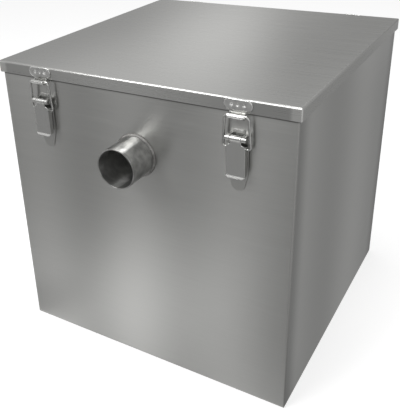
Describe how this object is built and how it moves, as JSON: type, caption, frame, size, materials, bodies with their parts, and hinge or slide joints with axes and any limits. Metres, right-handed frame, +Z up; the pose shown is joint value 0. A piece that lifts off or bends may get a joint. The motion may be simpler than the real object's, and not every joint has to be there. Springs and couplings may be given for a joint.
{
  "type": "grease trap",
  "caption": "Square stainless steel grease trap tank with a folded lid held by toggle latches, a round inlet and outlet stub, and a strainer basket and baffles inside.",
  "frame": {"origin": "on the floor under the middle of the tank", "axes": "+Z up, -Y out of the inlet face, +X to the right of it"},
  "size_m": [0.406, 0.486, 0.402],
  "materials": {
    "satin_stainless": "brushed",
    "tube_stainless": "polished tube",
    "latch_stainless": "tumbled bright",
    "mill_stainless": "mill finish",
    "gasket_rubber": "matte"
  },
  "bodies": {
    "tank": {"tank_body": "satin_stainless", "tank_front": "satin_stainless", "tank_rear": "satin_stainless", "tank_rim": "satin_stainless", "lid": "satin_stainless", "lid_gasket": "gasket_rubber", "inlet_pipe": "tube_stainless", "outlet_pipe": "tube_stainless", "basket": "mill_stainless", "basket_rail_left": "mill_stainless", "basket_rail_right": "mill_stainless", "inlet_guide_left": "mill_stainless", "inlet_guide_right": "mill_stainless", "outlet_guide_left": "mill_stainless", "outlet_guide_right": "mill_stainless", "inlet_baffle": "mill_stainless", "outlet_baffle": "mill_stainless", "strike_front_left": "latch_stainless", "strike_front_right": "latch_stainless", "strike_rear_left": "latch_stainless", "strike_rear_right": "latch_stainless", "latch_base_front_left": "latch_stainless", "latch_base_front_right": "latch_stainless", "latch_base_rear_left": "latch_stainless", "latch_base_rear_right": "latch_stainless", "latch_pin_front_left": "latch_stainless", "latch_pin_front_right": "latch_stainless", "latch_pin_rear_left": "latch_stainless", "latch_pin_rear_right": "latch_stainless"},
    "lever_front_left": {"latch_lever_front_left": "latch_stainless"},
    "bail_front_left": {"latch_bail_front_left": "latch_stainless"},
    "lever_front_right": {"latch_lever_front_right": "latch_stainless"},
    "bail_front_right": {"latch_bail_front_right": "latch_stainless"},
    "lever_rear_left": {"latch_lever_rear_left": "latch_stainless"},
    "bail_rear_left": {"latch_bail_rear_left": "latch_stainless"},
    "lever_rear_right": {"latch_lever_rear_right": "latch_stainless"},
    "bail_rear_right": {"latch_bail_rear_right": "latch_stainless"},
    "basket_handle": {"basket_handle": "mill_stainless"}
  },
  "joints": [
    {"name": "lever_front_left_swing", "type": "hinge", "parent": "tank", "child": "lever_front_left", "pos_m": [-0.134, -0.2076, 0.3585], "axis": [-1, 0, 0], "range_deg": [0, 95]},
    {"name": "bail_front_left_swing", "type": "hinge", "parent": "lever_front_left", "child": "bail_front_left", "pos_m": [-0.134, -0.2056, 0.347], "axis": [-1, 0, 0], "range_deg": [-73.2, 0]},
    {"name": "lever_front_right_swing", "type": "hinge", "parent": "tank", "child": "lever_front_right", "pos_m": [0.134, -0.2076, 0.3585], "axis": [-1, 0, 0], "range_deg": [0, 95]},
    {"name": "bail_front_right_swing", "type": "hinge", "parent": "lever_front_right", "child": "bail_front_right", "pos_m": [0.134, -0.2056, 0.347], "axis": [-1, 0, 0], "range_deg": [-73.2, 0]},
    {"name": "lever_rear_left_swing", "type": "hinge", "parent": "tank", "child": "lever_rear_left", "pos_m": [-0.134, 0.2076, 0.3585], "axis": [1, 0, 0], "range_deg": [0, 95]},
    {"name": "bail_rear_left_swing", "type": "hinge", "parent": "lever_rear_left", "child": "bail_rear_left", "pos_m": [-0.134, 0.2056, 0.347], "axis": [1, 0, 0], "range_deg": [-73.2, 0]},
    {"name": "lever_rear_right_swing", "type": "hinge", "parent": "tank", "child": "lever_rear_right", "pos_m": [0.134, 0.2076, 0.3585], "axis": [1, 0, 0], "range_deg": [0, 95]},
    {"name": "bail_rear_right_swing", "type": "hinge", "parent": "lever_rear_right", "child": "bail_rear_right", "pos_m": [0.134, 0.2056, 0.347], "axis": [1, 0, 0], "range_deg": [-73.2, 0]},
    {"name": "basket_handle_swing", "type": "hinge", "parent": "tank", "child": "basket_handle", "pos_m": [0, -0.1345, 0.2626], "axis": [1, 0, 0], "range_deg": [0, 130]}
  ],
  "couplings": [
    {"joint": "bail_front_left_swing", "follows": "lever_front_left_swing", "ratio": -0.77},
    {"joint": "bail_front_right_swing", "follows": "lever_front_right_swing", "ratio": -0.77},
    {"joint": "bail_rear_left_swing", "follows": "lever_rear_left_swing", "ratio": -0.77},
    {"joint": "bail_rear_right_swing", "follows": "lever_rear_right_swing", "ratio": -0.77}
  ]
}
